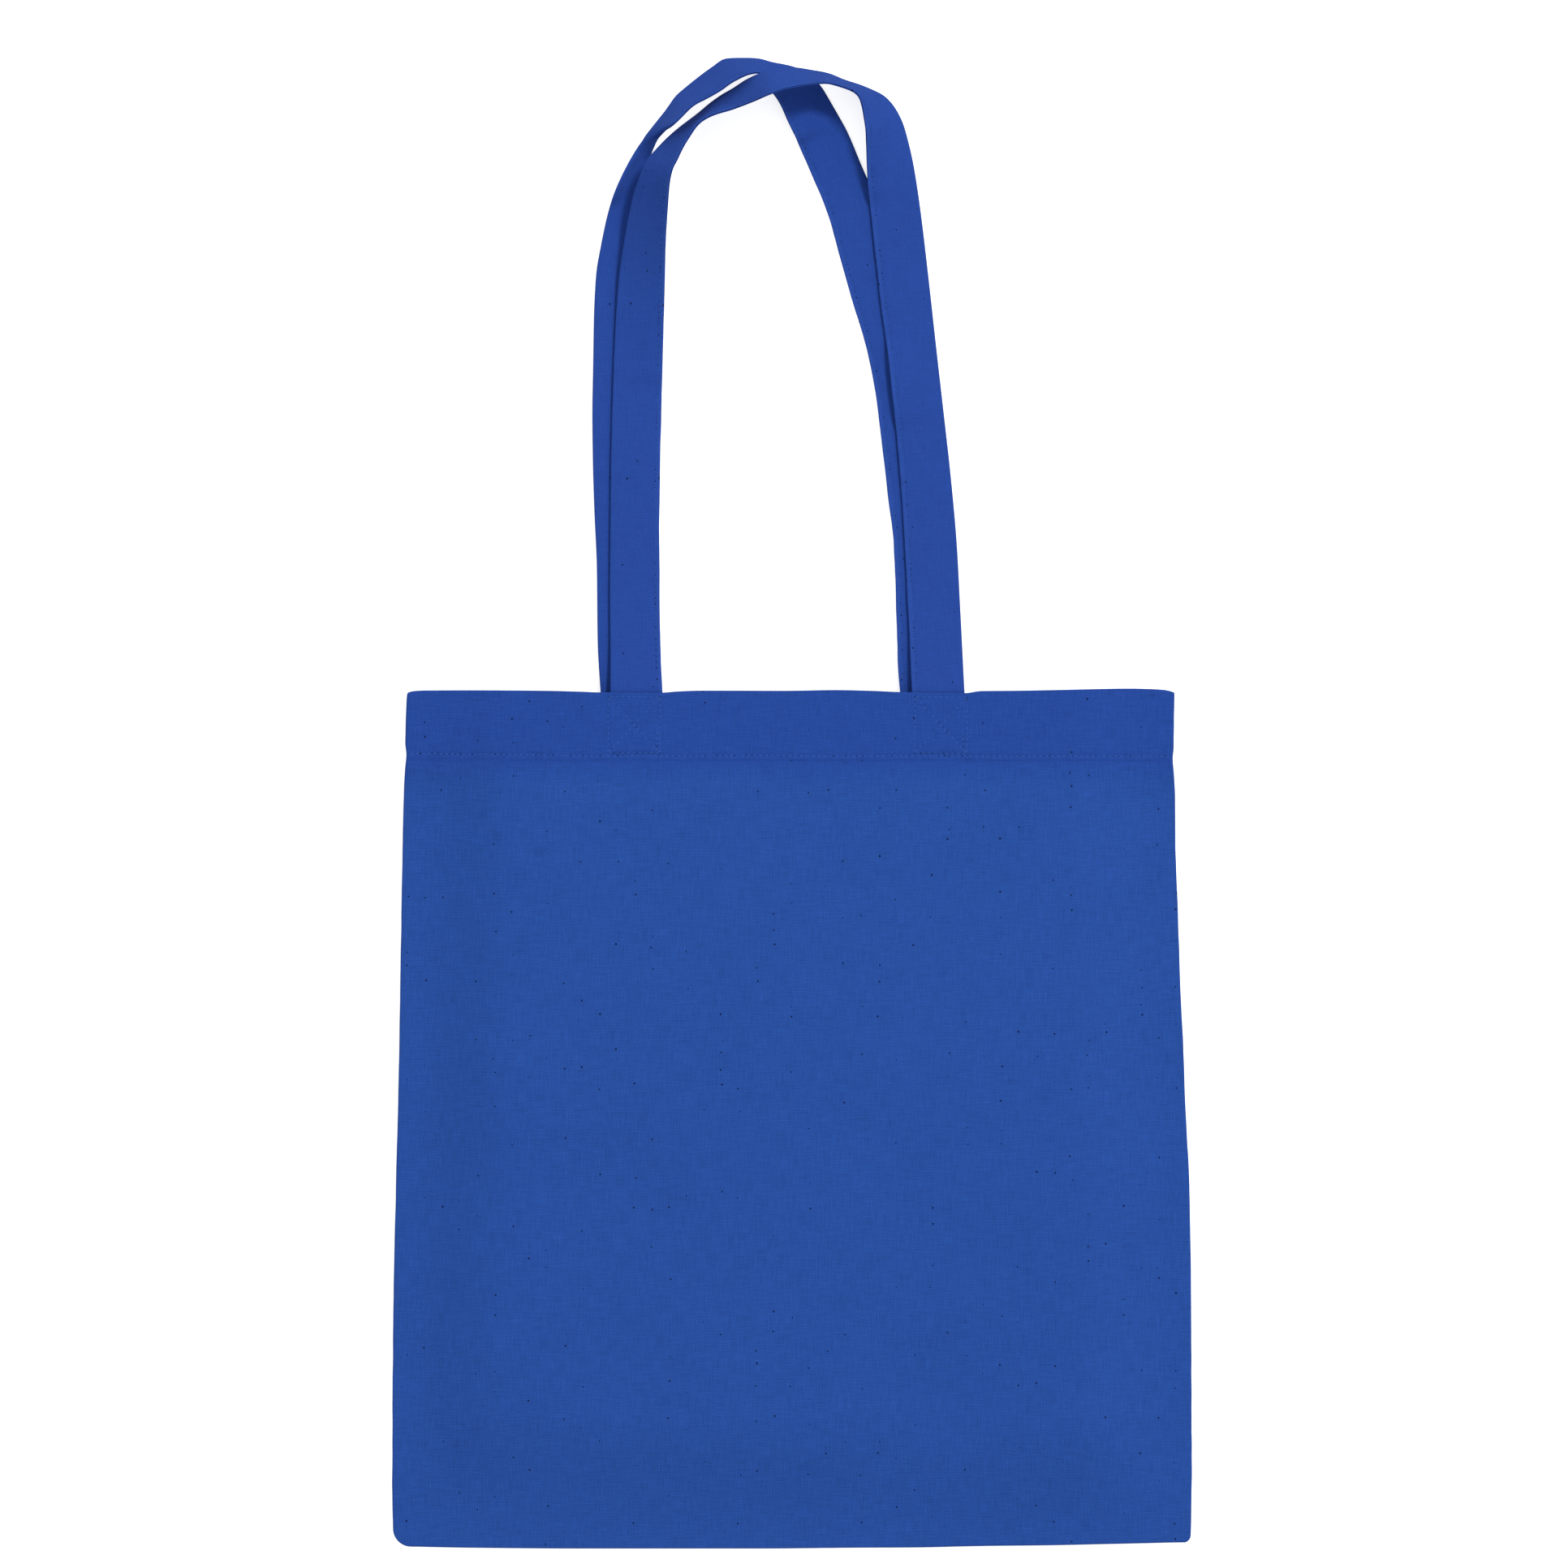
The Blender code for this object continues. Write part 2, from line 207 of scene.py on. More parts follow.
def newMaterial(name, colour, roughness):
    material = bpy.data.materials.new(name)
    material.use_nodes = True
    material.diffuse_color = (*colour, 1.0)
    shader = material.node_tree.nodes["Principled BSDF"]
    shader.inputs["Base Color"].default_value = (*colour, 1.0)
    shader.inputs["Roughness"].default_value = roughness
    shader.inputs["Specular IOR Level"].default_value = mattSpecular
    return material, material.node_tree, shader


def scaledNoise(tree, vector, scale, detail=2.0):
    return addNode(tree, "TexNoise", (vector, None, scale, detail), noise_dimensions="3D")


def addBump(tree, shader, height, look):
    bump = addNode(tree, "Bump")
    bump.inputs["Strength"].default_value = look["bumpStrength"]
    bump.inputs["Distance"].default_value = look["bumpDepth"]
    tree.links.new(height, bump.inputs["Height"])
    tree.links.new(bump.outputs["Normal"], shader.inputs["Normal"])


def yarnCrown(tree, place):
    # 1 along the middle of a yarn and 0 at its edges
    off = maths(tree, "SUBTRACT", maths(tree, "FRACT", place), 0.5)
    return maths(tree, "MULTIPLY_ADD", maths(tree, "MULTIPLY", off, off), -4.0, 1.0)


def yarnRise(tree, crown, otherCrown, dip):
    # a yarn dips where it nears the edge of the one it crosses
    return maths(tree, "MULTIPLY", crown, maths(tree, "MULTIPLY_ADD", otherCrown, dip, 1 - dip))


def yarnTone(tree, across, along, seed):
    place = addNode(tree, "CombineXYZ", (across, along, seed)).outputs[0]
    return scaledNoise(tree, place, 1.0).outputs[0]


def plainWeave(tree, flat, look):
    # the yarns wander a little, so the weave never lines up with the picture's own grid
    drift = scaledNoise(tree, flat, look["wanderScale"]).outputs["Color"]
    centred = vectorMaths(tree, "SUBTRACT", drift, (0.5, 0.5, 0.5))
    threads = scaled(tree, flat, 1 / look["threadPitch"])
    placed = vectorMaths(tree, "ADD", threads, scaled(tree, centred, look["threadWander"]))
    parts = addNode(tree, "SeparateXYZ", (placed,))
    across, along = parts.outputs["X"], parts.outputs["Y"]

    # warp and weft take turns on top
    warpCell = maths(tree, "FLOOR", across)
    weftCell = maths(tree, "FLOOR", along)
    halfSum = maths(tree, "MULTIPLY", maths(tree, "ADD", warpCell, weftCell), 0.5)
    warpOnTop = maths(tree, "MULTIPLY", maths(tree, "FRACT", halfSum), 2.0)
    warpCrown = yarnCrown(tree, across)
    weftCrown = yarnCrown(tree, along)
    warpRise = yarnRise(tree, warpCrown, weftCrown, look["yarnDip"])
    weftRise = yarnRise(tree, weftCrown, warpCrown, look["yarnDip"])
    rise = blendValue(tree, warpOnTop, weftRise, warpRise)

    # each yarn is paler and thicker in stretches, which shows as fine streaks both ways
    streak = 1 / look["streakLength"]
    warpNumber = maths(tree, "MULTIPLY", warpCell, look["yarnStep"])
    weftNumber = maths(tree, "MULTIPLY", weftCell, look["yarnStep"])
    warpTone = yarnTone(tree, warpNumber, maths(tree, "MULTIPLY", along, streak), look["warpSeed"])
    weftTone = yarnTone(tree, maths(tree, "MULTIPLY", across, streak), weftNumber, look["weftSeed"])
    return rise, blendValue(tree, warpOnTop, weftTone, warpTone)


def huskFlecks(tree, flat, look):
    # how far a spot lies inside one of the scattered dark flecks, from 0 to 1
    spread = (flat, None, 1 / look["speckCell"])
    cells = addNode(tree, "TexVoronoi", spread, voronoi_dimensions="2D", feature="F1")
    chance = addNode(tree, "SeparateXYZ", (cells.outputs["Color"],))
    chosen = maths(tree, "GREATER_THAN", chance.outputs["X"], look["speckShare"])
    size = maths(tree, "MULTIPLY", chance.outputs["Y"], look["speckSize"])
    size = maths(tree, "ADD", size, look["speckSize"] * look["speckSmallest"])
    core = maths(tree, "MULTIPLY", size, look["speckCore"])
    inside = addNode(tree, "MapRange", (cells.outputs["Distance"], core, size, 1.0, 0.0))
    return maths(tree, "MULTIPLY", chosen, inside.outputs[0])


def clothMaterial(name, look):
    material, tree, shader = newMaterial(name, look["colour"], look["roughness"])
    shader.inputs["Sheen Weight"].default_value = look["sheen"]
    shader.inputs["Sheen Roughness"].default_value = look["sheenRoughness"]
    flat = addNode(tree, "UVMap", uv_map="clothMap").outputs["UV"]
    rise, tone = plainWeave(tree, flat, look)

    # soft mottling of the dye
    mottle = scaledNoise(tree, flat, look["mottleScale"], 3.0).outputs[0]
    finePatch = scaledNoise(tree, flat, look["patchScale"]).outputs[0]
    dye = maths(tree, "ADD", maths(tree, "SUBTRACT", mottle, 0.5), maths(tree, "SUBTRACT", finePatch, 0.5))
    level = maths(tree, "MULTIPLY_ADD", maths(tree, "SUBTRACT", tone, 0.5), look["toneRange"] * 2, 1.0)
    # painted shade: the cloth is darker where its yarns dip and lighter on their crowns
    offRise = maths(tree, "SUBTRACT", rise, look["meanRise"])
    level = maths(tree, "MULTIPLY_ADD", offRise, look["weaveHollowShade"], level)
    level = maths(tree, "MULTIPLY_ADD", dye, look["mottle"], level)

    base = look["colour"]
    up = addNode(tree, "SeparateXYZ", (flat,)).outputs["Y"]
    # each band tints the cloth between two heights on the map; on the bag both bands are painted shade
    for start, end, fade, colour in look["bands"]:
        begun = addNode(tree, "MapRange", (up, start, start + fade)).outputs[0]
        ended = addNode(tree, "MapRange", (up, end, end + fade)).outputs[0]
        base = blendColour(tree, maths(tree, "SUBTRACT", begun, ended), base, colour)
    flecks = huskFlecks(tree, flat, look)
    finished = blendColour(tree, flecks, scaled(tree, base, level), look["speckColour"])
    tree.links.new(finished, shader.inputs["Base Color"])
    addBump(tree, shader, maths(tree, "MULTIPLY_ADD", tone, look["toneRelief"], rise), look)
    return material


def threadMaterial(name, look):
    # two-ply sewing thread: a fine lengthwise flicker on object coordinates
    material, tree, shader = newMaterial(name, look["colour"], look["roughness"])
    shader.inputs["Sheen Weight"].default_value = look["sheen"]
    place = addNode(tree, "TexCoord").outputs["Object"]
    ply = scaledNoise(tree, place, look["plyScale"], 1.0).outputs[0]
    share = addNode(tree, "MapRange", (ply, *look["plyRange"])).outputs[0]
    dark = tuple(part * look["darkShare"] for part in look["colour"])
    pale = tuple(part * look["paleShare"] for part in look["colour"])
    tree.links.new(blendColour(tree, share, dark, pale), shader.inputs["Base Color"])
    addBump(tree, shader, ply, look)
    return material


cotton = clothMaterial("wovenCotton", clothLook)
strapCotton = clothMaterial("wovenStrap", strapLook)
thread = threadMaterial("sewingThread", threadLook)
edgeThread = threadMaterial("strapThread", edgeThreadLook)
# painted shade: the near-black material of the needle holes' discs
paintedHoleShade = newMaterial("paintedHoleShade", threadLook["holeShadeColour"], threadLook["holeRoughness"])[0]
print("materials made")


# bag body: one folded and sewn cloth

bag = {
    "bottomY": -0.36225, "mouthY": 0.05475, "cloth": 0.0005, "mouthTop": 0.0112, "pocketTop": 0.0115,
    "hemDepth": 0.033, "hemStack": 0.0013, "hemFade": 0.022, "hemLift": 0.001, "hemStitchInset": 0.0018,
    "seamWidth": 0.009, "sideClimb": 0.045, "bottomClimb": 0.065,
    "rimWidth": 0.0009, "seamGroove": 0.0003, "grooveTurn": 0.25,
    "leftCorner": 0.0088, "rightCorner": 0.0034, "cornerReach": 0.06,
    "bottomReach": 0.08, "bottomRound": 0.0008,
    # the hem's line rises at the far left: how high, from where, over what reach, its mean, its width
    "hemWave": (0.0012, -0.08, 0.11, 0.3, 0.020),
    # unevenness of the hem's line, the sewn sides and the panel: height, length and seed
    "hemWander": (0.0004, 0.040, 9.3),
    "edgeRipples": ((0.00012, 0.009, 2.0), (0.00015, 0.035, 4.0)),
    "leftSeed": 3.1, "rightSeed": 8.7,
    "panelRipple": (0.0009, 0.085, 1.3), "panelSquash": 0.8, "fineRipple": (0.00035, 0.030, 7.1),
    "sideLooseness": 0.12, "hemTightness": 0.72,
    # the hem's step (height, half width), the sewn valley (depth, width, unevenness and its length),
    # and its puckers and the hem's own unevenness (height, length, squash, reach)
    "reliefReach": 0.02,
    "hemStep": (0.00036, 0.0009), "hemValley": (0.00034, 0.0011, 0.4, 0.005),
    "hemPuckers": (0.00022, 0.0075, 0.4, 0.0055), "hemUneven": (0.00014, 0.018, 0.5, 0.004),
    "frontSeed": 5.5, "backSeed": 15.5, "backRelief": 0.6,
    # how the hem's inner edge is rounded down to the single cloth
    "hemEdgeOut": 0.0003, "hemEdgeDeep": 0.0002, "hemGap": 0.00005,
    # the strap ends that show through the hem, and the box with a cross that is sewn round each
    "frontPatches": (-0.0775, 0.0718), "backPatches": (-0.0815, 0.0655),
    "patchHalf": 0.0132, "patchTopInset": 0.0021, "patchBottomInset": 0.0300,
    "patchRise": 0.00030, "patchEdge": 0.0018, "patchEdgeOut": 0.0012, "patchMargin": 0.006,
    "lineDepth": 0.00036, "lineWidth": 0.0009, "lineInset": 0.0006, "lineOverrun": 0.0005,
    "crossSlope": 0.7,
    # how closely the mesh is divided; pairs give the first step and how fast the steps grow
    "coarse": 0.0026, "rowCoarse": 0.0030, "insideCoarse": 0.012,
    "halfMouth": 0.187, "sewnMiddles": (-0.0797, 0.0686), "sewnHalf": 0.0175,
    "sideColumns": (0.0007, 0.13), "sewnColumns": (0.0012, 0.25),
    "bottomRows": (0.0006, 0.12), "stitchRows": (0.0005, 0.16), "mouthRows": (0.0004, 0.25),
    "hemZone": 0.03, "stitchHalf": 0.0012, "hemRow": 0.0014,
    "insideRows": (0.002, 0.15), "insideHemRow": 0.003,
    "rimSteps": 5, "foldSteps": 6, "bottomSteps": 6,
    # how far out each side lies, from the bottom fold up to the mouth
    "leftSide": (
        (-0.3623, -0.1949), (-0.330, -0.1953), (-0.280, -0.1950), (-0.233, -0.1945), (-0.186, -0.1934),
        (-0.138, -0.1922), (-0.091, -0.1914), (-0.043, -0.1906), (0.004, -0.1897), (0.0165, -0.1890),
        (0.0232, -0.1884), (0.029, -0.1889), (0.042, -0.1886), (0.0515, -0.1882), (0.0548, -0.1879),
    ),
    "rightSide": (
        (-0.3623, 0.1934), (-0.350, 0.1938), (-0.320, 0.1941), (-0.270, 0.1939), (-0.233, 0.1937),
        (-0.209, 0.1934), (-0.186, 0.1930), (-0.162, 0.1918), (-0.138, 0.1906), (-0.1145, 0.1897),
        (-0.091, 0.1886), (-0.067, 0.1878), (-0.043, 0.1870), (-0.020, 0.1862), (0.004, 0.1858),
        (0.015, 0.1853), (0.0225, 0.1847), (0.028, 0.1852), (0.042, 0.1854), (0.0548, 0.1856),
    ),
    # the mouth edge and the bottom fold, from left to right
    "mouthEdge": (
        (-0.1882, 0.0540), (-0.1850, 0.0546), (-0.1790, 0.0550), (-0.1560, 0.0551), (-0.1210, 0.0549),
        (-0.1040, 0.0545), (-0.0930, 0.0541), (-0.0640, 0.0540), (-0.0560, 0.0546), (-0.0440, 0.0550),
        (-0.0055, 0.0549), (0.0207, 0.0553), (0.0385, 0.0549), (0.0540, 0.0542), (0.0840, 0.0538),
        (0.0910, 0.0548), (0.1100, 0.0550), (0.1270, 0.0553), (0.1450, 0.0557), (0.1630, 0.0560),
        (0.1780, 0.0556), (0.1856, 0.0545),
    ),
    "bottomEdge": (
        (-0.1950, -0.3616), (-0.1570, -0.3622), (-0.1040, -0.3626), (-0.0150, -0.3626), (0.0300, -0.3622),
        (0.0560, -0.3621), (0.0918, -0.3614), (0.1270, -0.3610), (0.1450, -0.3606), (0.1630, -0.3602),
        (0.1934, -0.3596),
    ),
    # shallow hollows where the cloth settled: across, up, half width, half height, depth
    "hollows": (
        (-0.121, -0.186, 0.058, 0.026, 0.0024),
        (0.064, -0.284, 0.040, 0.032, 0.0032),
        (0.030, -0.046, 0.052, 0.034, 0.0014),
        (-0.095, -0.335, 0.085, 0.022, 0.0022),
        (0.150, -0.140, 0.022, 0.060, 0.0007),
    ),
    "swells": (
        (-0.010, -0.250, 0.045, 0.060, 0.0008),
        (0.145, -0.240, 0.040, 0.070, 0.0008),
        (-0.130, -0.300, 0.045, 0.025, 0.0007),
    ),
}
hemY = bag["mouthY"] - bag["hemDepth"]
stitchY = hemY + bag["hemStitchInset"]
patchTop = bag["mouthY"] - bag["patchTopInset"]
patchBottom = bag["mouthY"] - bag["patchBottomInset"]
leftSideAt = smoothTrack(bag["leftSide"])
rightSideAt = smoothTrack(bag["rightSide"])
mouthEdgeAt = smoothTrack(bag["mouthEdge"])
bottomEdgeAt = smoothTrack(bag["bottomEdge"])


def hemShare(y):
    # 0 on the single cloth and 1 on the doubled hem
    return ease((y - hemY + bag["hemFade"]) / bag["hemFade"])


def sideLeft(y):
    return leftSideAt(y) + sum(rippled(bag["leftSeed"], y, ripples) for ripples in bag["edgeRipples"])


def sideRight(y):
    return rightSideAt(y) + sum(rippled(bag["rightSeed"], y, ripples) for ripples in bag["edgeRipples"])


def trueHeightOnSheet(x, y):
    # the cloth's own wavy mouth and bottom edges, and the hem's line that wanders a little less
    y += (mouthEdgeAt(x) - bag["mouthY"]) * ease((y - stitchY) / (bag["mouthY"] - stitchY))
    high, start, reach, mean, width = bag["hemWave"]
    wave = high * (ease((start - x) / reach) - mean) + rippled(x, 0.0, bag["hemWander"])
    y += wave * bell(y - stitchY, width)
    reach = bag["bottomReach"]
    y += (bottomEdgeAt(x) - bag["bottomY"]) * ease((bag["bottomY"] + reach - y) / reach)
    return y


def boxLineValley(x, y, middles):
    # how near a sewn box with a cross comes, from 0 to 1, and how far the patch stands out there
    best, patch = 0.0, 0.0
    half, margin, overrun = bag["patchHalf"], bag["patchMargin"], bag["lineOverrun"]
    width, edge, edgeOut = bag["lineWidth"], bag["patchEdge"], bag["patchEdgeOut"]
    for middle in middles:
        offX = x - middle
        if abs(offX) > half + margin or y < patchBottom - margin:
            continue
        edgeX = half - abs(offX)
        edgeY = y - patchBottom
        patch = max(patch, ease((edgeX + edgeOut) / edge) * ease((edgeY + edgeOut) / edge))
        insideX = abs(offX) <= half + overrun
        insideY = patchBottom - overrun <= y <= patchTop + overrun
        if insideY:
            best = max(best, bell(abs(offX) - half + bag["lineInset"], width))
        if insideX:
            best = max(best, bell(y - patchTop, width), bell(y - patchBottom, width))
        if insideX and insideY:
            up = (y - patchBottom) / (patchTop - patchBottom) * 2 - 1
            cross = min(abs(offX / half - up), abs(offX / half + up)) * half * bag["crossSlope"]
            best = max(best, bell(cross, width))
    return best, patch


def frontHeight(x, y):
    # the front panel's outer face: low at the seams and the fold, softly uneven in between
    hem = hemShare(y)
    seam = bag["hemLift"] * hem + 4 * bag["cloth"] * (1 + hem)
    top = bag["pocketTop"] + (bag["mouthTop"] - bag["pocketTop"]) * hem
    fromSide = min(x - leftSideAt(y), rightSideAt(y) - x)
    sideShare = ease((fromSide - bag["seamWidth"]) / bag["sideClimb"])
    bottomShare = ease((y - bag["bottomY"]) / bag["bottomClimb"])
    share = sideShare * bottomShare
    height = seam + (top - seam) * share
    loose = bag["sideLooseness"] + (1 - bag["sideLooseness"]) * share
    loose *= 1 - bag["hemTightness"] * hem
    uneven = rippled(x, y * bag["panelSquash"], bag["panelRipple"])
    height += loose * (uneven + rippled(x, y, bag["fineRipple"]))
    for across, up, wide, high, depth in bag["hollows"]:
        height -= loose * depth * bell(x - across, wide) * bell(y - up, high)
    for across, up, wide, high, rise in bag["swells"]:
        height += loose * rise * bell(x - across, wide) * bell(y - up, high)
    return height + hemRelief(x, y, bag["frontPatches"], bag["frontSeed"])


def hemRelief(x, y, patches, seed):
    # the step of the doubled cloth, the sewn valley, its puckers and the strap ends that show through
    offStitch = y - stitchY
    if offStitch < -bag["reliefReach"]:
        return 0.0
    high, half = bag["hemStep"]
    relief = high * ease((y - hemY + half) / (2 * half))
    depth, width, uneven, length = bag["hemValley"]
    relief -= depth * bell(offStitch, width) * (1 + uneven * ripple(x, y, length, seed))
    high, length, squash, reach = bag["hemPuckers"]
    relief += high * ripple(x, y * squash, length, seed + 3) * bell(offStitch, reach)
    high, length, squash, reach = bag["hemUneven"]
    relief += high * ripple(x, y * squash, length, seed + 6) * ease((y - hemY) / reach)
    line, patch = boxLineValley(x, y, patches)
    return relief + bag["patchRise"] * patch - bag["lineDepth"] * line


def backHeight(x, y):
    # the back panel lies on the table, and its hem is a little lifted by the strap ends
    hem = hemShare(y)
    relief = hemRelief(x, y, bag["backPatches"], bag["backSeed"])
    return bag["hemLift"] * hem - bag["backRelief"] * relief * hem


def frontPoint(x, y, proud=0.0):
    return Vector((x, trueHeightOnSheet(x, y), frontHeight(x, y) + proud))


def backPoint(x, y, proud=0.0):
    return Vector((x, trueHeightOnSheet(x, y), backHeight(x, y) - proud))


def walk(start, end, stepAt):
    # places from start to end whose spacing follows stepAt, stretched to land on the end
    places = [start]
    while places[-1] < end:
        places.append(places[-1] + stepAt(places[-1]))
    scale = (end - start) / (places[-1] - start)
    return [start + (place - start) * scale for place in places]


def stepAfter(steps, distance):
    first, growth = steps
    return first + growth * max(distance, 0.0)


def columnStep(place):
    # the columns close up at the sides and the sewn straps
    fromSewn = min(abs(place - middle) for middle in bag["sewnMiddles"]) - bag["sewnHalf"]
    step = min(bag["coarse"], stepAfter(bag["sideColumns"], bag["halfMouth"] - abs(place)))
    return min(step, stepAfter(bag["sewnColumns"], fromSewn))


def rowStep(y):
    # the rows close up at the bottom fold, the hem's stitching and the mouth
    step = min(bag["rowCoarse"], stepAfter(bag["bottomRows"], y - bag["bottomY"]))
    if y > hemY - bag["hemZone"]:
        fromStitch = min(abs(y - stitchY), abs(y - hemY)) - bag["stitchHalf"]
        step = min(step, stepAfter(bag["stitchRows"], fromStitch))
        step = min(step, stepAfter(bag["mouthRows"], bag["mouthY"] - y))
    return min(step, bag["hemRow"]) if y > hemY else step


halfMouth = bag["halfMouth"]
columns = [place / halfMouth for place in walk(-halfMouth, halfMouth, columnStep)][::-1]


def sideSpan(y):
    # the outline at one height, with its rounded bottom corners
    above = y - bag["bottomY"]

    def corner(radius):
        below = min(max(radius - above, 0.0), radius)
        return radius - math.sqrt(radius * radius - below * below)

    return sideLeft(y), sideRight(y), corner(bag["leftCorner"]), corner(bag["rightCorner"])


def sideRim(upper, lower, outwards, outside):
    # rounds a side from the upper face to the lower one, with the seam's groove on the outside
    rim = bag["rimWidth"]
    middle = (upper[2] + lower[2]) / 2
    thickness = (upper[2] - lower[2]) / 2
    bulge = rim if outside else min(abs(thickness), rim)
    points = []
    for step in range(1, 2 * bag["rimSteps"]):
        turn = math.pi * step / (2 * bag["rimSteps"])
        groove = bag["seamGroove"] * bell(turn - math.pi / 2, bag["grooveTurn"]) if outside else 0.0
        out = bulge * math.sin(turn) - groove
        points.append((upper[0] + outwards * out, upper[1], middle + thickness * math.cos(turn)))
    return points


def bagRing(y, depth, inset, squeeze=1.0, lift=0.0):
    # once round the bag at one height, a depth under its outer faces and pulled in at the sides
    left, right, leftCorner, rightCorner = sideSpan(y)
    leftIn, rightIn = max(leftCorner, inset), max(rightCorner, inset)
    rim = bag["rimWidth"]
    width = right - left - 2 * rim
    reach = bag["cornerReach"]
    front, back = [], []
    for column in columns:
        x = left + rim + width * (column + 1) / 2
        x += leftIn * max(0.0, 1 - (x - left - rim) / reach)
        x -= rightIn * max(0.0, 1 - (right - rim - x) / reach)
        up = frontHeight(x, y) - depth
        down = backHeight(x, y) + depth
        middle = (up + down) / 2
        yHere = trueHeightOnSheet(x, y) + lift
        front.append((x, yHere, middle + (up - middle) * squeeze))
        back.append((x, yHere, middle + (down - middle) * squeeze))
    outside = depth == 0.0
    leftRim = sideRim(front[-1], back[-1], -1, outside)
    rightRim = sideRim(front[0], back[0], 1, outside)
    return front + leftRim + back[::-1] + rightRim[::-1]


def closeRing(ring, faces, flip):
    # zips the front half of a ring to its back half, as the bottom fold does
    size = len(ring)
    start = size - bag["rimSteps"]
    span = range(len(columns) + 2 * bag["rimSteps"])
    upper = [ring[(start + step) % size] for step in span]
    lower = [ring[(start - step) % size] for step in span]
    for here in range(len(upper) - 1):
        addPatch(faces, [upper[here], upper[here + 1], lower[here + 1], lower[here]], flip)


def makeBag():
    stack, cloth, innerEnd = bag["hemStack"], bag["cloth"], bag["seamWidth"]
    bottom, mouth, foldSteps = bag["bottomY"], bag["mouthY"], bag["foldSteps"]
    fold = stack / 2
    # bottom fold, rounded
    rings = []
    for step in range(1, bag["bottomSteps"]):
        turn = math.pi / 2 * step / bag["bottomSteps"]
        rings.append(bagRing(bottom + bag["bottomRound"] * (1 - math.cos(turn)), 0.0, 0.0, math.sin(turn)))
    rings += [bagRing(y, 0.0, 0.0) for y in walk(bottom + bag["bottomRound"], mouth - fold, rowStep)]
    # over the mouth's folded edge, down the hem's inner face and under its edge
    for step in range(1, foldSteps):
        turn = math.pi * step / foldSteps
        depth = fold * (1 - math.cos(turn))
        inset = innerEnd * ease(step / foldSteps)
        rings.append(bagRing(mouth - fold, depth, inset, 1.0, fold * math.sin(turn)))
    hemRows = walk(hemY, mouth - fold, lambda y: bag["insideHemRow"])[::-1]
    rings += [bagRing(y, stack, innerEnd) for y in hemRows]
    edgeDepth = (stack + cloth) / 2 + bag["hemEdgeDeep"]
    rings.append(bagRing(hemY - bag["hemEdgeOut"], edgeDepth, innerEnd))
    rings.append(bagRing(hemY, cloth + bag["hemGap"], innerEnd))
    # inner faces of the single cloth, down to the inside of the fold
    def insideStep(y):
        return min(bag["insideCoarse"], stepAfter(bag["insideRows"], y - bottom))

    innerRows = walk(bottom + 3 * cloth, hemY - 4 * cloth, insideStep)[::-1]
    rings += [bagRing(y, cloth, innerEnd) for y in innerRows]
    points, loops = [], []
    for ring in rings:
        loops.append(list(range(len(points), len(points) + len(ring))))
        points.extend(ring)
    faces = []
    skinRings(loops, faces)
    closeRing(loops[0], faces, False)
    closeRing(loops[-1], faces, True)
    made = makeObject("bagCloth", points, faces, cotton, [(x, y) for x, y, z in points])
    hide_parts("bag_body")
    return made


bagCloth = makeBag()
print("bag body made:", len(bagCloth.data.polygons), "faces")


# handles: two folded straps, laid as they fell

strap = {
    "width": 0.0255, "halfThick": 0.0006, "narrowest": 0.94,
    "sewnLength": 0.0315, "sewnSteps": 16, "step": 0.0018, "smoothing": 1,
    # the section: turns round the outer fold, places on the flat and beside the stitch line
    "foldTurns": (0.0, 0.45, 0.95, math.pi / 2),
    "flatPlaces": (0.0018, 0.0042, 0.0078, 0.0122, 0.0162, 0.0196, 0.0214),
    "stitchInset": 0.0024, "stitchPlaces": (-0.0009, -0.00045, 0.0, 0.00045, 0.0009),
    # the turned lip and the slit behind it: how far in from the edge and how high each point lies
    "lip": (
        (0.0008, 0.000588), (0.00035, 0.00054), (0.00005, 0.000372), (0.0001, 0.000228),
        (0.0005, 0.00015), (0.0018, 0.0),
    ),
    # the sewn valley (depth, width) and its puckers (height, length, seed), and how far they reach
    "valley": (0.00016, 0.0007), "puckers": (0.00007, 0.0045, 3.0), "puckerReach": 0.003,
    # unevenness of the face, the edge and the whole strap along its length: height, length and seed
    "faceRipple": (0.00010, 0.014, 6.0), "faceSquash": 1.5, "outerFade": 0.004, "innerFade": 0.002,
    "edgeWander": ((0.00016, 0.020, 0.0), (0.00008, 0.006, 2.0)), "wanderStart": 0.02,
    "bow": (0.00012, 0.022, 5.0), "frontSeed": 11.0, "backSeed": 23.0,
}
